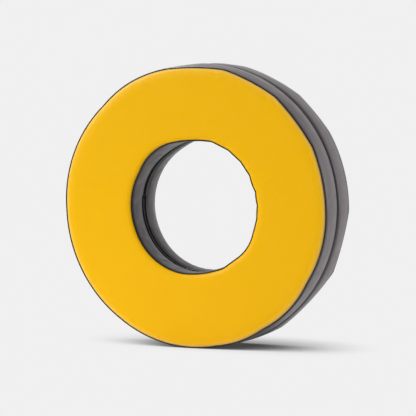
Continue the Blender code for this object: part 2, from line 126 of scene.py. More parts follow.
class Shading:
    """A node tree, with a short way to add each kind of node that the surfaces share."""

    def __init__(self, tree: bpy.types.NodeTree) -> None:
        """Work on a material's or a world's tree."""
        self.tree = tree

    def connect(self, node: bpy.types.Node, inputs: dict[Any, Any]) -> None:
        """Give inputs, by name or number, a constant or another node's output each.

        Args:
            node: the node that is fed.
            inputs: what each of its inputs is given.
        """
        for name, value in inputs.items():
            if isinstance(value, Socket):
                self.tree.links.new(value, node.inputs[name])
            else:
                node.inputs[name].default_value = value

    def add(self, kind: str, inputs: dict[Any, Any] | None = None, **settings: Any) -> bpy.types.Node:
        """Add a node.

        Args:
            kind: the node's type, without its prefix.
            inputs: what its inputs are given.
            settings: the node's own properties.

        Returns:
            The new node.
        """
        node = self.tree.nodes.new("ShaderNode" + kind)
        for name, value in settings.items():
            setattr(node, name, value)
        self.connect(node, inputs or {})
        return node

    def place(self, kind: str) -> Socket:
        """Where a point lies, in its piece's own space ("Object") or on its UV map ("UV").

        For the world, "Generated" gives the direction that the eye looks in.
        """
        return self.add("TexCoord").outputs[kind]

    def noise(self, size_mm: float, detail: float = 3.0) -> Socket:
        """Smooth noise whose blots are about this many millimetres across."""
        return self.add("TexNoise", {"Vector": self.place("Object"), "Scale": 1.0 / (size_mm * MM),
                                     "Detail": detail, "Roughness": 0.55}).outputs["Fac"]

    def threads(self, vector: Socket, axis: str, pitch_mm: float) -> Socket:
        """Ridges across one axis at this pitch; the wave texture repeats 20 / (2 pi) times per unit."""
        return self.add("TexWave", {
            "Vector": vector, "Scale": math.tau / (20 * pitch_mm * MM), "Distortion": 0.0},
            wave_type="BANDS", bands_direction=axis).outputs["Fac"]

    def calculated(self, operation: str, *operands: Any, **settings: Any) -> Socket:
        """Calculate with constants and other nodes' outputs."""
        return self.add("Math", dict(enumerate(operands)), operation=operation, **settings).outputs[0]

    def ranged(self, value: Socket, ends: Pair, to: Pair = (0.0, 1.0), **settings: Any) -> Socket:
        """Move a value from one range to another."""
        return self.add("MapRange", {"Value": value, "From Min": ends[0], "From Max": ends[1],
                                     "To Min": to[0], "To Max": to[1]}, **settings).outputs[0]

    def mixed(self, share: Socket, first: str, second: str) -> Socket:
        """Mix two sRGB hex colours by the share of the second."""
        return self.add("Mix", {"Factor": share, "A": linear(first), "B": linear(second)},
                        data_type="RGBA").outputs["Result"]

    def relief(self, height: Socket, height_mm: float, strength: float, **under: Socket) -> Socket:
        """Tilt the light as a relief of this height would, on top of the Normal that lies under it."""
        return self.add("Bump", {"Strength": strength, "Distance": height_mm * MM, "Height": height,
                                 **under}).outputs["Normal"]

    def split(self, output: str, to_eye: bpy.types.Node, to_rest: bpy.types.Node) -> None:
        """Show one surface to the camera, also in a reflection or through glass, and another to the rest.

        Args:
            output: the type of the tree's output, without its prefix.
            to_eye: what the camera sees.
            to_rest: what all other light meets.
        """
        path = self.add("LightPath").outputs
        seen = self.calculated("MAXIMUM", path["Is Camera Ray"], path["Is Glossy Ray"])
        seen = self.calculated("MAXIMUM", seen, path["Is Transmission Ray"])
        mix = self.add("MixShader", {0: seen, 1: to_rest.outputs[0], 2: to_eye.outputs[0]})
        self.add(output, {"Surface": mix.outputs[0]})


@dataclass(frozen=True)
class Finish:
    """A surface finish, with its colour as sRGB hex and its sizes in millimetres."""

    name: str
    colour: str
    roughness: float
    slot: str

    @cache
    def material(self) -> bpy.types.Material:
        """Make the material, once: its plain colour and roughness, and what its surface adds.

        Returns:
            The material.
        """
        material = bpy.data.materials.new(self.name)
        material.use_nodes = True
        material.diffuse_color = linear(self.colour)
        shading = Shading(material.node_tree)
        shader = shading.tree.nodes["Principled BSDF"]
        shading.connect(shader, {"Base Color": linear(self.colour), "Roughness": self.roughness})
        shading.connect(shader, self.surface(shading))
        return material

    def surface(self, shading: Shading) -> dict[str, Any]:
        """Make what this kind of surface feeds the shader, by the names of its inputs.

        Args:
            shading: the material's node tree.

        Returns:
            A constant or another node's output for each input.
        """
        return {}

    def worn(self, shading: Shading, noise: Socket, shinier: float, duller: float) -> Socket:
        """Roughness that wanders with a noise, by this much either way."""
        return shading.ranged(noise, NOISE_RANGE, (self.roughness - shinier, self.roughness + duller))


@dataclass(frozen=True)
class CoatedPolyester(Finish):
    """PVC-coated polyester tarpaulin: a calendered satin skin through which the base cloth just shows.

    The cloth gives a faint square weave, the embossing a fine pebble, and the soft film long, shallow
    waves that break up the highlights. The dust colour comes in random blots; towards the seams the
    same colour is painted light: a pale painted highlight on the yellow, a painted shade on the grey.
    """

    # colour of random dust blots, and of painted light at the seams: pale highlight on yellow, shade on grey
    dust_and_painted_light_colour: str = "#000000"
    weave_mm: float = 2.4
    pebble_mm: float = 1.3
    wave_mm: float = 70.0
    wave_height_mm: float = 0.9
    blot_mm: float = 120.0
    # how much of that colour the seams get as painted light: highlight on the yellow, shade on the grey
    seam_painted_light: float = 0.5
    blot_share: float = 0.12
    pebble_share: float = 0.6
    specular_level: float = 0.5

    def surface(self, shading: Shading) -> dict[str, Any]:
        """Make the coated cloth; its weave follows the piece's UV map, which is in metres.

        Args:
            shading: the material's node tree.

        Returns:
            What the shader's inputs are given.
        """
        # painted light near the seams, a pale highlight on the yellow and shade on the grey, plus random
        # dust blots
        seam = shading.add("Attribute", attribute_name="seam").outputs["Fac"]
        shade = shading.calculated("MULTIPLY", seam, self.seam_painted_light)
        blots = shading.noise(self.blot_mm, detail=4.0)
        mottle = shading.ranged(blots, ends=(0.3, 0.75), to=(0.0, self.blot_share))
        dust_and_painted_light = shading.calculated("ADD", shade, mottle, use_clamp=True)
        warp, weft = (shading.threads(shading.place("UV"), axis, self.weave_mm) for axis in "XY")
        cloth = shading.calculated("MULTIPLY", warp, weft)
        pebble = shading.noise(self.pebble_mm, detail=2.0)
        fine = shading.calculated("MULTIPLY_ADD", pebble, self.pebble_share, cloth)
        skin = shading.relief(fine, height_mm=0.08, strength=0.35)
        waves = shading.noise(self.wave_mm, detail=1.5)
        sheen = shading.noise(self.blot_mm / 3)
        return {"Base Color": shading.mixed(dust_and_painted_light, self.colour, self.dust_and_painted_light_colour),
                "Roughness": self.worn(shading, sheen, shinier=0.05, duller=0.06),
                "Normal": shading.relief(waves, self.wave_height_mm, strength=1.0, Normal=skin),
                "IOR": PLASTIC_IOR, "Specular IOR Level": self.specular_level}


@dataclass(frozen=True)
class PipingVinyl(Finish):
    """Extruded vinyl welt: smooth and satin, with the slight ripple of a cord drawn round a curve."""

    ripple_mm: float = 14.0
    specular_level: float = 0.3

    def surface(self, shading: Shading) -> dict[str, Any]:
        """Make the welt's vinyl."""
        ripple = shading.noise(self.ripple_mm)
        return {"Roughness": self.worn(shading, ripple, shinier=0.06, duller=0.08),
                "Normal": shading.relief(ripple, height_mm=0.4, strength=0.6),
                "IOR": PLASTIC_IOR, "Specular IOR Level": self.specular_level}


@dataclass(frozen=True)
class OpenCellFoam(Finish):
    """Cut polyurethane foam: matt, finely pitted by its open cells and yellowed in blots."""

    aged_colour: str = "#C9BE93"
    cell_mm: float = 2.5
    blot_mm: float = 90.0

    def surface(self, shading: Shading) -> dict[str, Any]:
        """Make the foam."""
        cells = shading.add("TexVoronoi", {
            "Vector": shading.place("Object"), "Scale": 1.0 / (self.cell_mm * MM)}, feature="SMOOTH_F1")
        return {"Base Color": shading.mixed(shading.noise(self.blot_mm), self.colour, self.aged_colour),
                "Normal": shading.relief(cells.outputs["Distance"], height_mm=0.5, strength=0.8)}


@dataclass(frozen=True)
class WovenTape(Finish):
    """Woven polyester tape: matt black, with a fine herringbone of slanted threads."""

    lit_colour: str = "#161518"
    rib_mm: float = 2.2
    slant_degrees: float = 35.0
    specular_level: float = 0.15

    def surface(self, shading: Shading) -> dict[str, Any]:
        """Make the tape; its threads follow the piece's UV map, which is in metres.

        Args:
            shading: the material's node tree.

        Returns:
            What the shader's inputs are given.
        """
        flat = shading.place("UV")
        slant = shading.add("Mapping", {
            "Vector": flat, "Rotation": (0.0, 0.0, math.radians(self.slant_degrees))}).outputs["Vector"]
        weave = shading.calculated("MULTIPLY", shading.threads(slant, "X", self.rib_mm),
                                   shading.threads(flat, "Y", self.rib_mm / 2))
        return {"Base Color": shading.mixed(weave, self.colour, self.lit_colour),
                "Normal": shading.relief(weave, height_mm=0.25, strength=0.9),
                "Specular IOR Level": self.specular_level}


@dataclass(frozen=True)
class MouldedAcetal(Finish):
    """Injection-moulded acetal: a waxy satin black that wears a little shinier in places."""

    wear_mm: float = 6.0

    def surface(self, shading: Shading) -> dict[str, Any]:
        """Make the moulding."""
        return {"Roughness": self.worn(shading, shading.noise(self.wear_mm), shinier=0.08, duller=0.08)}


@dataclass(frozen=True)
class LacqueredZinc(Finish):
    """Die-cast zinc under black lacquer: smooth, with bright metal where handling has rubbed it through."""

    bare_colour: str = "#8E8F92"
    chip_mm: float = 3.0
    chip_edge: Pair = (0.62, 0.68)

    def surface(self, shading: Shading) -> dict[str, Any]:
        """Make the lacquer with its rubbed spots."""
        rubbed = shading.ranged(shading.noise(self.chip_mm, detail=6.0), self.chip_edge)
        return {"Base Color": shading.mixed(rubbed, self.colour, self.bare_colour), "Metallic": rubbed}


@dataclass(frozen=True)
class TwistedThread(Finish):
    """Bonded polyester sewing thread: soft lustre, with its twist drawn at 1.2 mm so that it shows."""

    twist_mm: float = 1.2

    def surface(self, shading: Shading) -> dict[str, Any]:
        """Make the thread."""
        twist = shading.threads(shading.place("Object"), "DIAGONAL", self.twist_mm)
        return {"Normal": shading.relief(twist, height_mm=0.15, strength=0.7)}


# A strong warm yellow with hardly a shine, with a pale painted highlight at its seams.
YELLOW_VINYL = CoatedPolyester("yellow_coated_polyester", "#F1B701", 0.36, "yellow_vinyl",
                               dust_and_painted_light_colour="#F8DE9C", seam_painted_light=0.6, blot_share=0.01,
                               specular_level=0.1)
# A warm mid grey with a soft uneven sheen, and painted shade that sinks to near black at its seams.
GREY_VINYL = CoatedPolyester("grey_coated_polyester", "#696265", 0.42, "grey_vinyl",
                             dust_and_painted_light_colour="#1D1A1B", seam_painted_light=0.95, wave_height_mm=1.3,
                             specular_level=0.4)
# A black line round each face, with a thin broken highlight.
BLACK_WELT = PipingVinyl("black_welt_vinyl", "#0E0B0B", 0.42, "black_vinyl")
# A pale, dull, crumbly stuffing wherever the cover lets the eye through.
FOAM = OpenCellFoam("cut_polyurethane_foam", "#D9D3B8", 0.95, "foam")
# A flat black band that takes nearly all the light, ribbed when seen close.
BLACK_TAPE = WovenTape("black_woven_tape", "#0B0A0C", 0.95, "woven_tape")
# A row of small waxy glints along the black band.
BLACK_ACETAL = MouldedAcetal("black_acetal", "#1B1A1D", 0.42, "zip_teeth")
# A smoother black than the teeth, with a few bright specks.
BLACK_ZINC = LacqueredZinc("black_lacquered_zinc", "#232227", 0.35, "zip_metal")
# A dotted line a shade darker than the grey vinyl.
GREY_THREAD = TwistedThread("grey_sewing_thread", "#4A4648", 0.6, "grey_vinyl")
# A dotted line that only just stands out from the tape.
BLACK_THREAD = TwistedThread("black_sewing_thread", "#232125", 0.6, "woven_tape")


# The ring's form


@dataclass(frozen=True)
class Ring:
    """The sizes of the stuffed ring, and where its surface runs."""

    outer_radius: float
    half_width: float
    centre_height: float
    bore_radius: float
    slot_half: float
    slot_angles: Pair
    shoulder_radius: float = 0.024
    rim_crown: float = 0.002
    bore_crown: float = 0.0015
    seam_angle: float = math.radians(48.0)
    valley_depth: float = 0.009
    valley_half_width: float = 0.024
    valley_fall: float = 1.6
    groove_depth: float = 0.005
    slot_border: float = 0.003
    groove_slope: float = 0.012
    skin: float = 0.0012
    sag_depth: float = 0.008
    sag_shift: float = 0.014
    sag_polar: float = 120.0
    sag_angle: float = math.radians(24.0)
    sag_reach: float = 0.060
    segments: int = 288
    dense_step: float = 0.0005

    @classmethod
    def from_frame(cls) -> "Ring":
        """Measure the ring on the solid model.

        Returns:
            The ring, in the solid model's sizes.
        """
        _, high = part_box("rim_band_front")
        face_low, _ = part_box("face_panel_front")
        centre = high.z - high.x
        bore = radii_of("bore_band_front", centre)[0]
        _, tape_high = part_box("zip_tape_rear")
        start, end = angles_of("zip_tape_rear", centre)
        tuck = TAPE_TUCK / bore
        return cls(outer_radius=high.x, half_width=-face_low.y, centre_height=centre, bore_radius=bore,
                   slot_half=tape_high.y - TAPE_TUCK, slot_angles=(start + tuck, end - tuck))

    @property
    def middle_radius(self) -> float:
        """The radius of the circle in the middle of the stuffing."""
        return (self.outer_radius + self.bore_radius) / 2

    @property
    def edge(self) -> float:
        """The height at which the bands meet their shoulders."""
        return self.half_width - self.shoulder_radius

    @property
    def band_radius(self) -> float:
        """The bore's radius at the shoulders, without the crown of its bands."""
        return self.bore_radius + self.bore_crown

    @property
    def groove_radius(self) -> float:
        """The radius of the floor of the groove round the bore."""
        return self.band_radius + self.groove_depth

    @property
    def groove_floor_half(self) -> float:
        """Half the width of the groove's floor."""
        return self.slot_half + self.slot_border

    @property
    def slot_columns(self) -> tuple[int, int]:
        """The columns of a ring's mesh at the two ends of the zip's slot."""
        step = math.tau / self.segments
        return round(self.slot_angles[0] / step), round(self.slot_angles[1] / step)

    @property
    def angles(self) -> Array:
        """The angles of the columns of a ring's mesh, the last of which closes it."""
        even = np.linspace(0.0, math.tau, self.segments + 1)
        even[list(self.slot_columns)] = self.slot_angles
        return even

    def shoulder(self, start: float, end: float, bore: bool) -> Array:
        """Points round a shoulder, from one angle to another; 0 is on the face and 90 degrees off it.

        Args:
            start: the first angle, in radians.
            end: the last angle.
            bore: whether it is the bore's shoulder, and not the rim's.

        Returns:
            The points, as radius and height.
        """
        count = max(2, int(abs(end - start) * self.shoulder_radius / self.dense_step))
        turn = np.linspace(start, end, count)
        reach = self.shoulder_radius * np.sin(turn)
        height = self.edge + self.shoulder_radius * np.cos(turn)
        if bore:
            return np.column_stack([self.band_radius + self.shoulder_radius - reach, height])
        return np.column_stack([self.outer_radius - self.rim_crown - self.shoulder_radius + reach, height])

    def across(self, start: float, end: float, radius: Callable[[Array], Array]) -> Array:
        """Points across a band, from one height to another, at the radius that a formula gives."""
        height = np.linspace(start, end, int(abs(end - start) / self.dense_step))
        return np.column_stack([radius(height), height])

    def bulge(self, height: Array, start: float) -> Array:
        """How full a band stands, from 0 at this height to 1 halfway to the shoulder and 0 there."""
        return np.sin(math.pi * np.clip((height - start) / (self.edge - start), 0.0, 1.0)) ** 2

    def bore_radius_at(self, height: Array) -> Array:
        """The bore's radius across a bore band, with the groove and the crown."""
        rise = np.clip((height - self.groove_floor_half) / self.groove_slope, 0.0, 1.0)
        return (self.band_radius + self.groove_depth * (1 - rise * rise * (3 - 2 * rise))
                - self.bore_crown * self.bulge(height, self.groove_floor_half + self.groove_slope))

    def rim_radius_at(self, height: Array) -> Array:
        """The outer radius across a rim band, with the crown and the valley of the middle seam."""
        dip = np.clip(1.0 - height / self.valley_half_width, 0.0, 1.0)
        crown = self.rim_crown * self.bulge(height, self.valley_half_width)
        return self.outer_radius - self.rim_crown + crown - self.valley_depth * dip ** self.valley_fall

    def bore_line(self) -> Array:
        """The outline of a bore band, from the middle of the wheel to the face seam."""
        return np.vstack([self.across(0.0, self.edge, self.bore_radius_at),
                          self.shoulder(math.pi / 2, self.seam_angle, True)[1:]])

    def face_line(self) -> Array:
        """The outline of a face panel, from its bore seam to its rim seam."""
        return np.vstack([self.shoulder(self.seam_angle, 0.0, True),
                          self.shoulder(0.0, self.seam_angle, False)])

    def rim_line(self) -> Array:
        """The outline of a rim band, from the face seam to the middle of the wheel."""
        return np.vstack([self.shoulder(self.seam_angle, math.pi / 2, False),
                          self.across(self.edge, 0.0, self.rim_radius_at)[1:]])

    def seam_point(self, bore: bool) -> Array:
        """Where the face seam lies on a shoulder, as radius and height."""
        return self.shoulder(self.seam_angle, self.seam_angle, bore)[0]

    def slack(self, radius: Array, y: Array, angle: Array) -> Array:
        """How loose the cover is, from 0 to 1: it is loose inside the bore, left of the top."""
        off = turn_from(self.sag_polar, angle) / self.sag_angle
        return (radius < self.middle_radius) * np.exp(-off ** 2 - (y / self.sag_reach) ** 4)

    def placed(self, radius: Array, y: Array, angle: Array) -> Array:
        """Points in space at these radii, places along the wheel's axis and angles round it.

        Where the bore's cover is loose, its points sag towards the wheel's axis and to the rear.

        Args:
            radius: their distances from the wheel's axis.
            y: their places along it.
            angle: their angles round it.

        Returns:
            The points, with X, Y and Z last.
        """
        slack = self.slack(radius, y, angle)
        sagged = radius - self.sag_depth * slack
        return np.stack([-sagged * np.sin(angle), y + self.sag_shift * slack,
                         self.centre_height - sagged * np.cos(angle)], axis=-1)

    def outwards(self, point: Vector) -> Vector:
        """The direction from the wheel's axis to a point."""
        return Vector((point.x, 0.0, point.z - self.centre_height)).normalized()


def spaced(length: float, fine: float, coarse: float) -> Array:
    """Stations along a line, close together at its two ends and further apart between them.

    Args:
        length: the line's length.
        fine: the first step from each end.
        coarse: the longest step.

    Returns:
        The stations, as lengths along the line.
    """
    step, found = fine, [0.0]
    while found[-1] < length / 2:
        found.append(found[-1] + step)
        step = min(coarse, step * STATION_GROWTH)
    half = [s * length / 2 / found[-1] for s in found]
    return np.array(half + [length - s for s in reversed(half[:-1])])


@dataclass(frozen=True)
class Crease:
    """How far a skin is drawn in at a seam, how soon it rises again, and how far its painted light reaches.
    """

    depth: float
    width: float
    # how far the painted light reaches: a pale highlight on the yellow, shade on the grey
    shade_width: float

    def at(self, distance: Array) -> Array:
        """The depth at this distance from the seam."""
        return self.depth * np.exp(-(distance / self.width) ** CREASE_FALL)

    def shade(self, distance: Array) -> Array:
        """How much of the full painted light is left at this distance from the seam."""
        return np.exp(-(distance / self.shade_width) ** CREASE_FALL)

    def spread(self, factor: float) -> "Crease":
        """The same crease, wider by this factor."""
        return Crease(self.depth, self.width * factor, self.shade_width)


class Section:
    """The outline of one skin, sampled for its mesh, with its normals and its painted light near the seams.
    """

    def __init__(self, line: Array, stations: Callable[[float], Array], start: Crease, end: Crease) -> None:
        """Sample a dense outline.

        Args:
            line: the dense outline, as radius and height.
            stations: gives the places to sample along a line of that length.
            start: the crease at the outline's start.
            end: the crease at its end.
        """
        along = length_along(line)
        length = float(along[-1])
        at = stations(length)
        flat = np.column_stack([np.interp(at, along, line[:, k]) for k in (0, 1)])
        slope = np.column_stack([np.interp(at, along, np.gradient(line[:, k], along)) for k in (0, 1)])
        slope /= np.linalg.norm(slope, axis=1)[:, None]
        # self.seam holds the painted light near the seams: highlight on the yellow, shade on the grey
        depth, self.seam = np.zeros(len(at)), np.zeros(len(at))
        for crease, distance in ((start, at), (end, length - at)):
            depth += crease.at(distance)
            self.seam = np.maximum(self.seam, crease.shade(distance))
        self.inwards = np.column_stack([slope[:, 1], -slope[:, 0]])
        self.points = flat + self.inwards * depth[:, None]


# Meshes and objects


def new_grid(columns: int, rows: int) -> bmesh.types.BMesh:
    """A flat grid of cells."""
    bm = bmesh.new()
    bmesh.ops.create_grid(bm, x_segments=columns, y_segments=rows, size=1.0)
    return bm


def cells_of(bm: bmesh.types.BMesh, columns: int, rows: int) -> dict[bmesh.types.BMVert, tuple[int, int]]:
    """The column and the row of each corner of a new grid."""
    return {vert: (round((vert.co.x + 1) / 2 * columns), round((vert.co.y + 1) / 2 * rows))
            for vert in bm.verts}


def finished(name: str, bm: bmesh.types.BMesh) -> bpy.types.Mesh:
    """Turn a bmesh into a smooth mesh.

    Args:
        name: the mesh's name.
        bm: the bmesh, which is freed.

    Returns:
        The mesh.
    """
    mesh = bpy.data.meshes.new(name)
    bm.to_mesh(mesh)
    bm.free()
    mesh.shade_smooth()
    return mesh


def face_outwards(bm: bmesh.types.BMesh, core: Callable[[Vector], Vector]) -> None:
    """Turn an open sheet's faces away from the core that it wraps.

    Args:
        bm: the sheet.
        core: gives the nearest point of the core.
    """
    facing = sum(math.copysign(1.0, f.normal.dot(f.calc_center_median() - core(f.calc_center_median())))
                 for f in bm.faces)
    if facing < 0:
        bmesh.ops.reverse_faces(bm, faces=bm.faces)


def grid_mesh(name: str, points: Array, uv: Array, core: Callable[[Vector], Vector] | None = None,
              keep: Callable[[int, int], bool] | None = None,
              seam: Array | None = None) -> bpy.types.Mesh:
    """Lay a grid over an array of points.

    Args:
        name: the mesh's name.
        points: rows of points, each row a column of the grid.
        uv: the UV of each point, in metres.
        core: gives the nearest point of the core that an open sheet wraps; without it, the surface is
            one that has no free edge once its doubles are merged.
        keep: says which cells stay, by their column and row.
        seam: how near each row of points is to a seam, from 0 to 1, which sets its painted light.

    Returns:
        The mesh, its doubles merged and its faces pointing outwards.
    """
    columns, rows = points.shape[0] - 1, points.shape[1] - 1
    bm = new_grid(columns, rows)
    layer = bm.loops.layers.uv.new("UVMap")
    # the seams' painted light: a pale highlight on the yellow, shade on the grey
    near = bm.verts.layers.float.new("seam")
    cell = cells_of(bm, columns, rows)
    if keep:
        gone = [f for f in bm.faces
                if not keep(min(cell[v][0] for v in f.verts), min(cell[v][1] for v in f.verts))]
        bmesh.ops.delete(bm, geom=gone, context="FACES")
    for face in bm.faces:
        for loop in face.loops:
            loop[layer].uv = uv[cell[loop.vert]]
    for vert in bm.verts:
        i, j = cell[vert]
        vert.co = points[i, j]
        vert[near] = 0.0 if seam is None else float(seam[j])
    bmesh.ops.remove_doubles(bm, verts=bm.verts, dist=SAME_PLACE)
    bm.normal_update()
    if core:
        face_outwards(bm, core)
    else:
        bmesh.ops.recalc_face_normals(bm, faces=bm.faces)
    return finished(name, bm)


def new_object(name: str, data: bpy.types.ID) -> bpy.types.Object:
    """Put a new object in the scene."""
    made = bpy.data.objects.new(name, data)
    bpy.context.scene.collection.objects.link(made)
    return made


def add_piece(name: str, mesh: bpy.types.Mesh, finish: Finish, body: str,
              *replaced: str) -> bpy.types.Object:
    """Put a piece in the scene, on its body, in place of the solids it stands for.

    Args:
        name: the piece's name.
        mesh: its mesh, with its place in its vertices.
        finish: its finish.
        body: the moving body that carries the piece.
        replaced: the solids that it stands for.

    Returns:
        The new object.
    """
    piece = new_object(name, mesh)
    mesh.materials.append(finish.material())
    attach(piece, body)
    if replaced:
        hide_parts(*replaced)
    LOG.info("%s: %d faces before its modifiers", name, len(mesh.polygons))
    return piece


def add_modifier(piece: bpy.types.Object, name: str, kind: str, **settings: Any) -> None:
    """Add a modifier with these settings."""
    modifier = piece.modifiers.new(name, kind)
    for key, value in settings.items():
        setattr(modifier, key, value)


def add_wall(piece: bpy.types.Object, thickness: float) -> None:
    """Give a sheet its thickness, inwards."""
    add_modifier(piece, "wall", "SOLIDIFY", thickness=thickness, offset=-1.0)


def values_of(items: Any, key: str, kind: type, width: int = 1) -> Array:
    """Read one number, or this many, from each item of a mesh's data."""
    found = np.zeros(len(items) * width, kind)
    items.foreach_get(key, found)
    return found


def uv_grid(columns: Array, rows: Array) -> Array:
    """The UV of each point of a grid, from that of its column and that of its row."""
    return np.stack(np.meshgrid(columns, rows, indexing="ij"), axis=-1)


def kept_above(points: Array, height: float = 0.0) -> Array:
    """Points of which none lies below this height over the floor."""
    return np.stack([points[..., 0], points[..., 1], np.maximum(points[..., 2], height)], axis=-1)


def closed_up(grid: Array) -> Array:
    """Make the last column and the last row of a grid repeat its first ones."""
    grid[-1] = grid[0]
    grid[:, -1] = grid[:, 0]
    return grid


# The cover


@dataclass(frozen=True)
class Flats:
    """How straight a seam runs between its corners, where the ease of the cloth gathers.

    Each corner is a polar angle, with how far the middle of the flat that follows it is drawn in
    towards the wheel's axis.
    """

    corners: tuple[Pair, ...]
    reach: float
    base: float = 0.0

    @classmethod
    def spread(cls, seen: tuple[Pair, ...], spacing: float, depth: float, reach: float,
               base: float = 0.0) -> "Flats":
        """The flats seen in the picture, and even ones round the rest of the wheel.

        Args:
            seen: the corners in rising order, the last of them with the depth of the first even flat.
            spacing: the usual angle between two corners, in degrees.
            depth: the depth of the even flats.
            reach: how far from the seam the flats can still be seen.
            base: how far the whole seam is drawn in.

        Returns:
            The flats.
        """
        last = seen[-1][0]
        rest = seen[0][0] + 360.0 - last
        count = round(rest / spacing)
        others = tuple((last + rest * k / count, depth) for k in range(1, count))
        return cls(seen + others, reach, base)

    def at(self, angle: Array) -> Array:
        """How far the seam is drawn in at these angles.

        Args:
            angle: angles round the wheel, in radians.

        Returns:
            How far towards the wheel's axis each point of the seam lies.
        """
        rising = sorted((from_polar(polar), k) for k, (polar, _) in enumerate(self.corners))
        marks = np.array([mark for mark, _ in rising])
        depths = np.array([self.corners[k - 1][1] for _, k in rising])
        turned = np.mod(angle, math.tau)
        after = np.searchsorted(marks, turned)
        before = marks[after - 1] - np.where(after == 0, math.tau, 0.0)
        ahead = marks[after % len(marks)] + np.where(after == len(marks), math.tau, 0.0)
        share = (turned - before) / (ahead - before)
        return self.base + 4 * share * (1 - share) * depths[after - 1]

    def pull(self, distance: Array, angle: Array) -> Array:
        """How far the skin is drawn in at these distances from the seam and angles round the wheel."""
        return self.at(angle) * np.exp(-(distance / self.reach) ** 2)


@dataclass(frozen=True)
class Fold:
    """A soft fold that lies along a radius of a face: a low ridge in the vinyl."""

    polar: float
    radius: float
    length: float
    width: float
    height: float

    def lift(self, radius: Array, angle: Array) -> Array:
        """How far the fold lifts the face at these radii and angles."""
        across = turn_from(self.polar, angle) * radius / self.width
        along = (radius - self.radius) / self.length
        return self.height * np.exp(-across ** 2 - along ** 2) * np.cos(across * FOLD_RIPPLE)


# How the vinyl stretches, bends and moves while it is blown up.
CLOTH_SETTINGS = {
    "quality": 4, "mass": 0.4, "tension_stiffness": 40.0, "compression_stiffness": 40.0,
    "shear_stiffness": 15.0, "bending_stiffness": 3.0, "air_damping": 2.0, "use_pressure": True,
    "vertex_group_mass": "pins", "vertex_group_shrink": "gathers", "shrink_min": 0.0}


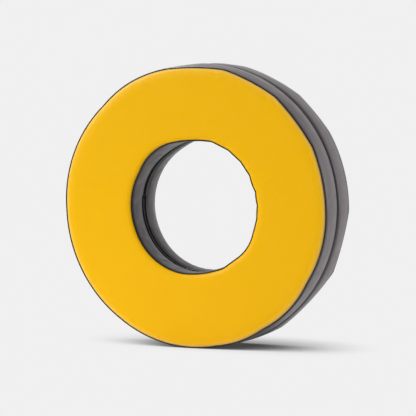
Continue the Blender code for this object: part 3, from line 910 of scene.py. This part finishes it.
@dataclass
class Cover:
    """The sewn vinyl cover: two faces, two rim bands and two bore bands, stretched over the foam.

    All six skins are one closed surface while they are drawn tight and blown up a little, and are
    then taken apart at their seams.
    """

    ring: Ring
    # the third number is how far painted light reaches: highlight on the yellow, shade on the grey
    yellow_crease: Crease = Crease(0.0016, 0.0026, 0.0090)
    bore_edge_crease: Crease = Crease(0.0016, 0.0026, 0.0012)
    grey_crease: Crease = Crease(0.0050, 0.0065, 0.0070)
    middle_crease: Crease = Crease(0.0110, 0.0120, 0.0210)
    groove_shade: Crease = Crease(0.0, 1.0, 0.0650)     # painted shade alone: the groove is in the outline
    fine_step: float = 0.0018
    coarse_step: float = 0.010
    piping_radius: float = 0.0026
    piping_lift: float = 0.0004
    piping_sides: int = 12
    bore_flats: Flats = Flats(
        ((-100.0, 0.0055), (-61.7, 0.0025), (-47.1, -0.0050), (-22.0, 0.0015), (-8.0, 0.0022),
         (3.0, 0.0034), (13.9, 0.0054), (28.3, 0.0024), (42.5, 0.0026), (56.8, 0.0030),
         (74.0, 0.0080), (112.0, -0.0070), (150.0, -0.0015), (200.0, -0.0035)), 0.030, 0.0025)
    rear_bore_flats: Flats = Flats.spread(((132.0, -0.0120), (292.0, 0.0018)), 21.0, 0.0018, 0.030, 0.0015)
    front_flats: Flats = Flats(
        ((-80.0, -0.0035), (-58.0, -0.0065), (-31.0, -0.0024), (-4.0, 0.0040), (26.0, 0.0067),
         (52.0, 0.0053), (77.0, 0.0072), (102.0, -0.0050), (135.0, -0.0050), (182.0, -0.0004),
         (235.0, -0.0030)), 0.030, 0.0020)
    rear_flats: Flats = Flats.spread(
        ((-60.0, 0.0120), (-28.0, 0.0090), (-1.8, 0.0020), (31.6, 0.0040), (51.5, 0.0040),
         (77.6, 0.0045), (94.0, 0.0130), (120.0, 0.0030)), 24.0, 0.0030, 0.075, -0.0010)
    middle_flats: Flats = Flats(((89.0, 0.0150), (121.0, 0.0)), 0.085)
    folds: tuple[Fold, ...] = (
        Fold(78.3, 0.565, 0.035, 0.012, 0.0014),
        Fold(184.0, 0.44, 0.07, 0.008, 0.0006),
        Fold(188.5, 0.45, 0.06, 0.009, 0.0007),
        Fold(225.0, 0.50, 0.06, 0.012, 0.0006),
        Fold(20.0, 0.36, 0.05, 0.010, 0.0006),
        Fold(-35.0, 0.53, 0.05, 0.012, 0.0007),
        Fold(128.0, 0.36, 0.05, 0.010, 0.0006))
    rear_fold_turn: float = 0.4
    pressure: float = 4.0
    ease: float = 0.012
    ease_reach: float = 0.030
    frames: int = 20
    shake: float = 0.0002
    slot_rows: int = 4
    most_lift: float = 0.0045
    most_face_lift: float = 0.0012
    seed: int = 7
    starts: dict[str, tuple[int, int]] = field(default_factory=dict)    # each skin's first and last row

    def sections(self, spread: float = 1.0) -> list[Section]:
        """The skins of one side in order round the foam, from the middle of the bore to that of the rim.

        Args:
            spread: how much wider than sewn the creases are.

        Returns:
            Their outlines, in the order of SKINS.
        """
        def stations(length: float) -> Array:
            """Stations from one seam to the next."""
            return spaced(length, self.fine_step, self.coarse_step)

        def bore_stations(length: float) -> Array:
            """Stations from the middle of the bore: over half the zip's slot, and on to the face seam."""
            floor = np.linspace(0.0, self.ring.slot_half, self.slot_rows - 1)
            start = self.ring.slot_half + self.ring.slot_border / 2
            rest = spaced(length - start, self.fine_step, self.coarse_step / 2)
            return np.concatenate([floor, start + rest])

        yellow, bore_edge, grey, middle = (crease.spread(spread) for crease in (
            self.yellow_crease, self.bore_edge_crease, self.grey_crease, self.middle_crease))
        return [Section(self.ring.bore_line(), bore_stations, self.groove_shade, grey),
                Section(self.ring.face_line(), stations, bore_edge, yellow),
                Section(self.ring.rim_line(), stations, grey, middle)]

    def outline(self) -> tuple[Array, Array, Array]:
        """The closed outline of all six skins.

        Returns:
            Its points as radius and Y, how near each is to a seam, and its length so far.
        """
        points: list[Array] = []
        seam: list[float] = []
        for name, section in zip(SKINS, self.sections()):
            start, first = max(0, len(points) - 1), 1 if points else 0
            points += [np.array((r, -h)) for r, h in section.points[first:]]
            seam += list(section.seam[first:])
            self.starts[Side.FRONT.named(name)] = (start, len(points) - 1)
        middle = len(points) - 1
        points[middle][1] = 0.0
        points += [np.array((p[0], -p[1])) for p in reversed(points[:-1])]
        seam += list(reversed(seam[:-1]))
        for name in SKINS:
            start, end = self.starts[Side.FRONT.named(name)]
            self.starts[Side.REAR.named(name)] = (2 * middle - end, 2 * middle - start)
        outline = np.array(points)
        return outline, np.array(seam), length_along(outline)

    def drawn_in(self, radius: Array, y: Array, angle: Array) -> Array:
        """The radius once the flats of the seams have drawn the surface in.

        Args:
            radius: the points' distances from the wheel's axis.
            y: their places along it.
            angle: their angles round it.

        Returns:
            The new distances from the axis.
        """
        found = radius + 0.0 * angle
        for bore, side, flats in (
                (True, Side.FRONT, self.bore_flats), (True, Side.REAR, self.rear_bore_flats),
                (False, Side.FRONT, self.front_flats), (False, Side.REAR, self.rear_flats)):
            seam_radius, seam_height = self.ring.seam_point(bore)
            found = found - flats.pull(np.hypot(radius - seam_radius, y - side.value * seam_height), angle)
        return found - self.middle_flats.pull(np.hypot(radius - self.ring.outer_radius, y), angle)

    def tightened(self, radius: Array, y: Array) -> Array:
        """Points of a section, drawn in at the seams and carried round the wheel in columns."""
        angle = self.ring.angles[:, None]
        return self.ring.placed(self.drawn_in(radius[None, :], y[None, :], angle), y[None, :], angle)

    def blown_up(self, sewn: Array, along: Array) -> Array:
        """Press the foam's fill against the cover, with its seams held.

        Args:
            sewn: the cover as it is sewn, in columns of points.
            along: how far along the outline each point lies.

        Returns:
            The filled cover, in the same columns.
        """
        columns, rows = sewn.shape[0] - 1, sewn.shape[1] - 1
        shake = np.random.default_rng(self.seed).normal(0.0, self.shake, sewn.shape)
        shake[:, sorted(self.held_rows())] = 0.0
        shake = closed_up(shake)
        bm = new_grid(columns, rows)
        column, row = (bm.verts.layers.int.new(key) for key in ("column", "row"))
        for vert, (i, j) in cells_of(bm, columns, rows).items():
            vert[column], vert[row] = i % columns, j % rows
            vert.co = sewn[i, j] + shake[i, j]
        bmesh.ops.remove_doubles(bm, verts=bm.verts, dist=SAME_PLACE)
        bmesh.ops.recalc_face_normals(bm, faces=bm.faces)
        mesh = finished("filled_cover", bm)
        cover = new_object("filled_cover", mesh)
        columns_of, rows_of = (values_of(mesh.attributes[key].data, "value", np.int32)
                               for key in ("column", "row"))
        self.hold(cover, rows_of, along)
        scene = bpy.context.scene
        for number in range(1, self.frames + 1):
            scene.frame_set(number)
        filled = cover.evaluated_get(bpy.context.evaluated_depsgraph_get()).to_mesh()
        found = values_of(filled.vertices, "co", float, 3)
        scene.frame_set(1)
        result = sewn.copy()
        result[columns_of, rows_of] = found.reshape(-1, 3)
        bpy.data.objects.remove(cover)
        return self.capped(sewn, closed_up(result) - sewn)

    def capped(self, sewn: Array, lift: Array) -> Array:
        """The cover after a lift that no skin takes further than its most.

        Args:
            sewn: the cover as it is sewn, in columns of points.
            lift: how far the fill moves each point.

        Returns:
            The filled cover, in the same columns.
        """
        far = np.linalg.norm(lift, axis=-1, keepdims=True)
        LOG.info("the fill lifts the cover by %.1f mm at most and %.1f mm on average",
                 far.max() / MM, far.mean() / MM)
        most = np.full((1, sewn.shape[1], 1), self.most_lift)
        for side in Side:
            start, end = self.starts[side.named("face_panel")]
            most[:, start:end + 1] = self.most_face_lift
        return sewn + lift * np.tanh(far / most) * most / np.maximum(far, LEAST_LIFT)

    def hold(self, cover: bpy.types.Object, rows_of: Array, along: Array) -> None:
        """Set the cover up as cloth, pinned at its seams and with ease gathered beside them.

        Args:
            cover: the closed cover.
            rows_of: the row of points that each of its corners belongs to.
            along: how far along the outline each row lies.
        """
        pins = cover.vertex_groups.new(name="pins")
        gathers = cover.vertex_groups.new(name="gathers")
        held = self.held_rows()
        for j in range(len(along) - 1):
            members = np.nonzero(rows_of == j)[0].tolist()
            distance = min(abs(along[j] - along[k]) for k in held)
            if j in held:
                pins.add(members, 1.0, "REPLACE")
            gathers.add(members, float(math.exp(-(distance / self.ease_reach) ** 2)), "REPLACE")
        cloth = cover.modifiers.new("fill", "CLOTH")
        for name, value in CLOTH_SETTINGS.items():
            setattr(cloth.settings, name, value)
        cloth.settings.uniform_pressure_force = self.pressure
        cloth.settings.shrink_max = -self.ease
        cloth.settings.effector_weights.gravity = 0.0
        cloth.collision_settings.use_collision = False
        cloth.collision_settings.use_self_collision = False
        cloth.point_cache.frame_end = self.frames

    def held_rows(self) -> set[int]:
        """The rows of points that the seams and the zip hold still."""
        last = self.starts["bore_band_rear"][1]
        seams = {row for side in Side for name in ("face_panel", "rim_band")
                 for row in self.starts[side.named(name)]}
        return seams | set(range(self.slot_rows)) | {last - j for j in range(self.slot_rows)}

    def folded(self, points: Array, side: Side) -> Array:
        """A face with its soft folds; the rear one's lie elsewhere.

        Args:
            points: the face's columns of points.
            side: the side it lies on.

        Returns:
            The folded columns.
        """
        x, z = points[..., 0], points[..., 2] - self.ring.centre_height
        radius, angle = np.hypot(x, z), np.arctan2(-x, -z)
        if side is Side.REAR:
            angle = self.rear_fold_turn - angle
        found = points.copy()
        found[..., 1] += side.value * sum(fold.lift(radius, angle) for fold in self.folds)
        return found

    def core(self, point: Vector) -> Vector:
        """The nearest point of the circle in the middle of the stuffing."""
        return self.ring.outwards(point) * self.ring.middle_radius + Vector((0, 0, self.ring.centre_height))

    def in_slot(self, column: int, row: int, outline: Array) -> bool:
        """Whether a cell of the mesh lies in the zip's slot."""
        first, last = self.ring.slot_columns
        across = abs(outline[row, 1] + outline[row + 1, 1]) / 2
        return first <= column < last and across < self.ring.slot_half

    def build(self) -> None:
        """Sew the cover, fill it, and take it apart into its skins and piping."""
        outline, seam, along = self.outline()
        sewn = self.tightened(outline[:, 0], outline[:, 1])
        filled = self.blown_up(sewn, along)
        for side in Side:
            for kind, finish in (("face_panel", YELLOW_VINYL), ("rim_band", GREY_VINYL),
                                 ("bore_band", GREY_VINYL)):
                start, end = self.starts[side.named(kind)]
                rows = slice(start, end + 1)
                self.skin(side, kind, finish, filled[:, rows], outline[rows], seam[rows], along[rows])
        for side in Side:
            for kind, bore in (("rim_piping", False), ("bore_piping", True)):
                self.piping(side, kind, bore)

    def skin(self, side: Side, kind: str, finish: Finish, points: Array, outline: Array,
             seam: Array, along: Array) -> None:
        """Make one skin of the cover.

        Args:
            side: the side it lies on.
            kind: which of that side's skins it is.
            finish: its finish.
            points: its columns of points.
            outline: its part of the cover's outline.
            seam: how near each point of the outline is to a seam.
            along: how far along the outline each lies.
        """
        face = kind == "face_panel"
        points = kept_above(self.folded(points, side) if face else points)
        uv = points[..., (0, 2)] if face else uv_grid(self.ring.angles * outline[:, 0].mean(), along)
        keep = (lambda i, j: not self.in_slot(i, j, outline)) if kind == "bore_band" else None
        name = side.named(kind)
        mesh = grid_mesh(name + "_skin", points, uv, self.core, keep, seam)
        piece = add_piece(name + "_skin", mesh, finish, WHEEL, name)
        add_modifier(piece, "smooth", "SUBSURF", levels=1, render_levels=1)
        add_wall(piece, self.ring.skin)

    def piping(self, side: Side, kind: str, bore: bool) -> None:
        """Make the welt that stands in one face seam.

        Args:
            side: the side it lies on.
            kind: which of that side's two welts it is.
            bore: whether that is the one round the bore.
        """
        seam_radius, seam_height = self.ring.seam_point(bore)
        lean = math.sin(self.ring.seam_angle)
        centre_radius = seam_radius + (-lean if bore else lean) * self.piping_lift
        centre_height = seam_height + math.cos(self.ring.seam_angle) * self.piping_lift
        turn = np.linspace(0.0, math.tau, self.piping_sides + 1)
        angle = self.ring.angles[:, None]
        seam_y = np.array([[side.value * seam_height]])
        drawn = self.drawn_in(np.array([[seam_radius]]), seam_y, angle) - seam_radius
        radius = centre_radius + drawn + self.piping_radius * np.cos(turn)[None, :]
        y = side.value * (centre_height + self.piping_radius * np.sin(turn)[None, :]) + 0.0 * angle
        points = kept_above(self.ring.placed(radius, y, angle))
        uv = uv_grid(self.ring.angles * centre_radius, turn * self.piping_radius)
        name = side.named(kind)
        add_piece(name + "_welt", grid_mesh(kind, points, uv), BLACK_WELT, WHEEL, name)


@dataclass
class FoamCore:
    """The two foam slabs inside the cover."""

    cover: Cover
    inset: float = 0.0042
    crease_spread: float = 1.6
    half_joint: float = 0.0004

    def build(self) -> None:
        """Make both slabs."""
        section = np.vstack([skin.points + skin.inwards * self.inset
                             for skin in self.cover.sections(self.crease_spread)])
        section[:, 1] = np.maximum(section[:, 1], self.half_joint)
        section[0, 1] = section[-1, 1] = self.half_joint
        section = np.vstack([section, section[:1]])
        uv = uv_grid(self.cover.ring.angles, np.linspace(0, 1, len(section)))
        for side in Side:
            points = kept_above(self.cover.tightened(section[:, 0], side.value * section[:, 1]), self.inset)
            name = side.named("foam_core")
            piece = add_piece(name, grid_mesh(name, points, uv), FOAM, WHEEL, side.named("foam_slab"))


# The zip and the tape in the bore


def on_ring(ring: Ring, angle: float, radius: float, y: float) -> Matrix:
    """The place at this angle, with X along the ring, Y along the axis and Z towards the axis."""
    centre = Matrix.Translation((0.0, 0.0, ring.centre_height))
    return centre @ Matrix.Rotation(angle, 4, "Y") @ Matrix.Translation((0.0, y, -radius))


def spun(bm: bmesh.types.BMesh, ring: Ring, pitch: float, count: int) -> None:
    """Repeat what a bmesh holds round the wheel's axis, a pitch apart."""
    bmesh.ops.spin(bm, geom=bm.verts[:] + bm.edges[:] + bm.faces[:], cent=(0.0, 0.0, ring.centre_height),
                   axis=(0.0, 1.0, 0.0), angle=pitch * (count - 1), steps=count - 1, use_duplicate=True)


@dataclass
class BoreTrim:
    """The tape over the bore's middle seam, and the zip with its slider and pull."""

    ring: Ring
    tape_half: float = 0.013
    tape_thickness: float = 0.0008
    tape_gap: float = 0.0008
    tape_lift: float = 0.0002
    tape_rows: int = 4
    end_lap: float = 0.0008
    tooth_pitch: float = 0.003
    tooth_size: Triple = (0.0015, 0.0046, 0.0032)
    tooth_gap: float = 0.0003
    tooth_head: float = 0.0009
    head_scale: Triple = (1.25, 1.0, 0.8)
    tooth_bevel: float = 0.0002
    sharp_angle: float = math.radians(40.0)
    stitch_pitch: float = 0.0045
    stitch_size: Triple = (0.0038, 0.0009, 0.0009)
    stitch_end: float = 0.01
    edge_inset: float = 0.0025
    cast_angle: float = math.radians(30.0)
    facet_angle: float = math.radians(1.0)
    cast_edge: float = 0.0003
    pull_edge: float = 0.00035

    def build(self) -> None:
        """Make the seam tape, the zip and their stitches."""
        self.seam_tape()
        self.zip_tapes()
        self.teeth()
        for node in ("zip_top_stop_front", "zip_top_stop_rear", "zip_bottom_stop"):
            self.rounded(node, self.cast_edge, BLACK_ACETAL, WHEEL)
        self.rounded("zip_slider", self.cast_edge, BLACK_ZINC, SLIDER)
        self.rounded("zip_pull", self.pull_edge, BLACK_ZINC, PULL)

    def tape(self, name: str, node: str, radius: float, edges: Pair,
             angles: Pair, columns: int) -> None:
        """Lay a strip of tape round the wheel's axis, facing it.

        Args:
            name: the piece's name.
            node: the solid that it stands for.
            radius: the strip's radius.
            edges: its two edges along the wheel's axis.
            angles: where it starts and ends round the wheel.
            columns: cells along it.
        """
        angle = np.linspace(angles[0], angles[1], columns + 1)[:, None]
        y = np.linspace(edges[0], edges[1], self.tape_rows + 1)[None, :]
        uv = np.stack(np.broadcast_arrays(angle * radius, y), axis=-1)
        mesh = grid_mesh(name, self.ring.placed(radius, y, angle), uv,
                         core=lambda point: point + self.ring.outwards(point))
        add_wall(add_piece(name, mesh, BLACK_TAPE, WHEEL, node), self.tape_thickness)

    def stitches(self, name: str, radius: float, y: float, angles: Pair,
                 finish: Finish) -> None:
        """Sew a row of lockstitches: short fat grains that sink into the cloth at both ends.

        Args:
            name: the piece's name.
            radius: the row's distance from the wheel's axis.
            y: its place along the axis.
            angles: where it starts and ends round the wheel.
            finish: the thread's finish.
        """
        bm = bmesh.new()
        place = on_ring(self.ring, angles[0], radius, y)
        grain = Matrix.Diagonal([size / 2 for size in self.stitch_size] + [1.0])
        bmesh.ops.create_uvsphere(bm, u_segments=6, v_segments=5, radius=1.0,
                                  matrix=place @ grain @ Matrix.Rotation(math.pi / 2, 4, "Y"))
        count = int((angles[1] - angles[0]) * radius / self.stitch_pitch)
        spun(bm, self.ring, self.stitch_pitch / radius, count)
        for vert in bm.verts:
            x, z = vert.co.x, vert.co.z - self.ring.centre_height
            vert.co = self.ring.placed(math.hypot(x, z), vert.co.y, math.atan2(-x, -z))
        add_piece(name, finished(name, bm), finish, WHEEL)

    def seam_tape(self) -> None:
        """Make the tape over the plain part of the middle seam, and its two rows of stitches."""
        lap = self.end_lap / self.ring.band_radius
        start, end = self.ring.slot_angles[1] + lap, self.ring.slot_angles[0] - lap + math.tau
        radius = self.ring.groove_radius - self.tape_thickness - self.tape_lift
        self.tape("bore_seam_tape_cloth", "bore_seam_tape", radius, (-self.tape_half, self.tape_half),
                  (start, end), columns=280)
        for side in Side:
            self.stitches(side.named("seam_tape_stitches"), radius,
                          side.value * (self.tape_half - self.edge_inset),
                          (start + self.stitch_end, end - self.stitch_end), BLACK_THREAD)

    def zip_tapes(self) -> None:
        """Make the zip's two tapes and the stitches that hold them."""
        inner, _ = radii_of("zip_tape_front", self.ring.centre_height)
        angles = angles_of("zip_tape_front", self.ring.centre_height)
        for side in Side:
            near, far = sorted((side.value * self.tape_gap, side.value * (self.ring.slot_half + TAPE_TUCK)))
            self.tape(side.named("zip_tape_cloth"), side.named("zip_tape"), inner, (near, far), angles,
                      columns=120)
            self.stitches(side.named("zip_stitches"), self.ring.groove_radius,
                          side.value * (self.ring.slot_half + self.edge_inset), angles, GREY_THREAD)

    def tooth(self, side: Side, angle: float, radius: float) -> bmesh.types.BMesh:
        """One moulded tooth: a block on the tape whose head reaches past the middle of the zip.

        Args:
            side: the side whose tape it sits on.
            angle: its place round the wheel.
            radius: its middle's distance from the wheel's axis.

        Returns:
            The tooth.
        """
        bm = bmesh.new()
        verts = bmesh.ops.create_cube(bm, size=1.0)["verts"]
        bmesh.ops.scale(bm, vec=self.tooth_size, verts=verts)
        bmesh.ops.translate(bm, vec=(0.0, side.value * (self.tooth_size[1] / 2 + self.tooth_gap), 0.0),
                            verts=verts)
        head = min(bm.faces, key=lambda f: side.value * f.calc_center_median().y)
        moved = bmesh.ops.extrude_discrete_faces(bm, faces=[head])["faces"][0]
        bmesh.ops.translate(bm, vec=(0.0, -side.value * self.tooth_head, 0.0), verts=moved.verts)
        bmesh.ops.scale(bm, vec=self.head_scale, verts=moved.verts)
        bmesh.ops.bevel(bm, geom=bm.edges[:], offset=self.tooth_bevel, segments=1, profile=0.5,
                        affect="EDGES", material=-1)
        bmesh.ops.recalc_face_normals(bm, faces=bm.faces)
        bmesh.ops.transform(bm, matrix=on_ring(self.ring, angle, radius, 0.0), verts=bm.verts)
        return bm

    def teeth(self) -> None:
        """Make the two rows of teeth, half a pitch apart."""
        radius = sum(radii_of("zip_teeth_front", self.ring.centre_height)) / 2
        pitch = self.tooth_pitch / radius
        start, end = angles_of("zip_teeth_front", self.ring.centre_height)
        for side in Side:
            first = start + pitch * (0.5 if side is Side.FRONT else 1.0)
            bm = self.tooth(side, first, radius)
            spun(bm, self.ring, pitch, int((end - first) / pitch))
            node = side.named("zip_teeth")
            mesh = finished(node + "_moulded", bm)
            mesh.set_sharp_from_angle(angle=self.sharp_angle)
            add_piece(node + "_moulded", mesh, BLACK_ACETAL, WHEEL, node)

    def rounded(self, node: str, width: float, finish: Finish, body: str) -> None:
        """Replace a small solid by itself with its flat facets merged and its edges rounded.

        Args:
            node: the solid.
            width: how wide the rounding is.
            finish: the piece's finish.
            body: the moving body that carries it.
        """
        bm = bmesh.new()
        bm.from_mesh(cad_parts[node].data)
        bmesh.ops.remove_doubles(bm, verts=bm.verts, dist=SAME_PLACE)
        bmesh.ops.dissolve_limit(bm, angle_limit=self.facet_angle, verts=bm.verts, edges=bm.edges)
        bmesh.ops.recalc_face_normals(bm, faces=bm.faces)
        mesh = finished(node + "_cast", bm)
        mesh.materials.clear()
        piece = add_piece(node + "_cast", mesh, finish, body, node)
        add_modifier(piece, "bevel", "BEVEL", width=width, segments=2, limit_method="ANGLE",
                     angle_limit=self.cast_angle)


# The studio


@dataclass(frozen=True)
class Softbox:
    """A rectangular lamp."""

    name: str
    place: Triple
    aim: Triple
    size: Pair
    power: float

    def build(self) -> None:
        """Hang the lamp."""
        lamp = bpy.data.lights.new(self.name, "AREA")
        lamp.shape = "RECTANGLE"
        lamp.size, lamp.size_y = self.size
        lamp.energy = self.power
        holder = new_object(self.name, lamp)
        holder.location = self.place
        aim = Vector(self.aim) - Vector(self.place)
        holder.rotation_euler = aim.to_track_quat("-Z", "Y").to_euler()


@dataclass
class Studio:
    """The pale floor and backdrop, the soft light and the camera."""

    ring: Ring
    backdrop: str = "#F0F0F0"
    ambient: float = 0.36
    bright_side: Triple = (-0.35, 0.75, 0.55)
    bright_edge: Pair = (-0.45, 0.15)
    dark_side: float = 0.08
    floor_radius: float = 3.0
    floor_colour: str = "#E6E6E6"
    shadow_reach: float = 0.42
    shadow_tilt: Triple = (-0.38, -0.45, 0.80)
    shadow_edge: Pair = (0.12, 0.9)
    shadow_core: float = 0.06
    azimuth: float = math.radians(22.8)
    elevation: float = math.radians(3.9)
    distance: float = 12.19
    aim_right: float = 0.0624
    aim_up: float = -0.0043
    lens: float = 248.1
    sensor: float = 36.0
    lamps: tuple[Softbox, ...] = (
        Softbox("key_softbox", (-11.3, -12.2, 7.4), (0.0, 0.0, 0.7), (6.4, 5.2), 2190.0),
        Softbox("top_softbox", (-1.7, 0.5, 3.4), (0.0, 0.0, 1.2), (1.8, 1.0), 60.0),
        Softbox("right_fill", (5.0, 0.9, 1.6), (0.3, 0.0, 0.6), (2.0, 2.0), 95.0),
        Softbox("rear_fill", (-4.6, 2.4, 1.9), (0.0, 0.0, 0.6), (1.6, 2.4), 120.0))

    def build(self) -> None:
        """Set up the whole studio."""
        bpy.context.scene.view_settings.view_transform = "Standard"
        self.world()
        self.floor()
        for lamp in self.lamps:
            lamp.build()
        self.camera()

    def world(self) -> None:
        """Make the even light of the room, and the backdrop that the camera sees."""
        world = bpy.data.worlds.new("studio")
        bpy.context.scene.world = world
        world.use_nodes = True
        world.node_tree.nodes.clear()
        shading = Shading(world.node_tree)
        light = shading.add("Background", {"Color": WHITE, "Strength": self.ambient})
        towards = shading.add("VectorMath", {0: shading.place("Generated"), 1: self.bright_side},
                              operation="DOT_PRODUCT").outputs["Value"]
        mirrored = shading.ranged(towards, self.bright_edge, (self.dark_side, 1.0),
                                  interpolation_type="SMOOTHSTEP")
        path = shading.add("LightPath").outputs
        strength = shading.calculated("MAXIMUM", mirrored, path["Is Camera Ray"])
        seen = shading.add("Background", {"Color": linear(self.backdrop), "Strength": strength})
        shading.split("OutputWorld", seen, light)

    def floor(self) -> None:
        """Make the floor: the backdrop's colour to the eye, darkened where the wheel shuts out the light."""
        bm = bmesh.new()
        bmesh.ops.create_circle(bm, cap_ends=True, radius=self.floor_radius, segments=96)
        floor = new_object("floor", finished("floor", bm))
        floor.data.materials.append(self.floor_material())

    def floor_material(self) -> bpy.types.Material:
        """Paint the floor; its shade is how much of a slanted patch of sky each point sees.

        Returns:
            The paint.
        """
        material = bpy.data.materials.new("painted_floor")
        material.use_nodes = True
        material.node_tree.nodes.clear()
        shading = Shading(material.node_tree)
        slant = shading.add("CombineXYZ", dict(enumerate(self.shadow_tilt)))
        open_sky = shading.add("AmbientOcclusion", {
            "Distance": self.shadow_reach, "Normal": slant.outputs[0]}, samples=16).outputs["AO"]
        shade = shading.ranged(open_sky, self.shadow_edge, (self.shadow_core, 1.0),
                               interpolation_type="SMOOTHSTEP")
        seen = shading.add("Emission", {"Color": linear(self.backdrop), "Strength": shade})
        paint = shading.add("BsdfDiffuse", {"Color": linear(self.floor_colour)})
        shading.split("OutputMaterial", seen, paint)
        return material

    def camera(self) -> None:
        """Stand the camera where the picture was taken from."""
        data = bpy.data.cameras.new("camera")
        data.lens = self.lens
        data.sensor_width = self.sensor
        camera = new_object("camera", data)
        turn = Matrix.Rotation(self.azimuth, 4, "Z") @ Matrix.Rotation(math.pi / 2 - self.elevation, 4, "X")
        face = Vector((0.0, -self.ring.half_width, self.ring.centre_height))
        back = turn @ Vector((self.aim_right, self.aim_up, self.distance))
        camera.matrix_world = Matrix.Translation(face + back) @ turn
        bpy.context.scene.camera = camera


def main() -> None:
    """Dress the wheel and light it."""
    logging.basicConfig(level=logging.INFO, format="%(message)s")
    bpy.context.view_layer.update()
    ring = Ring.from_frame()
    Studio(ring).build()
    cover = Cover(ring)
    cover.build()
    FoamCore(cover).build()
    BoreTrim(ring).build()


if __name__ == "__main__":
    main()
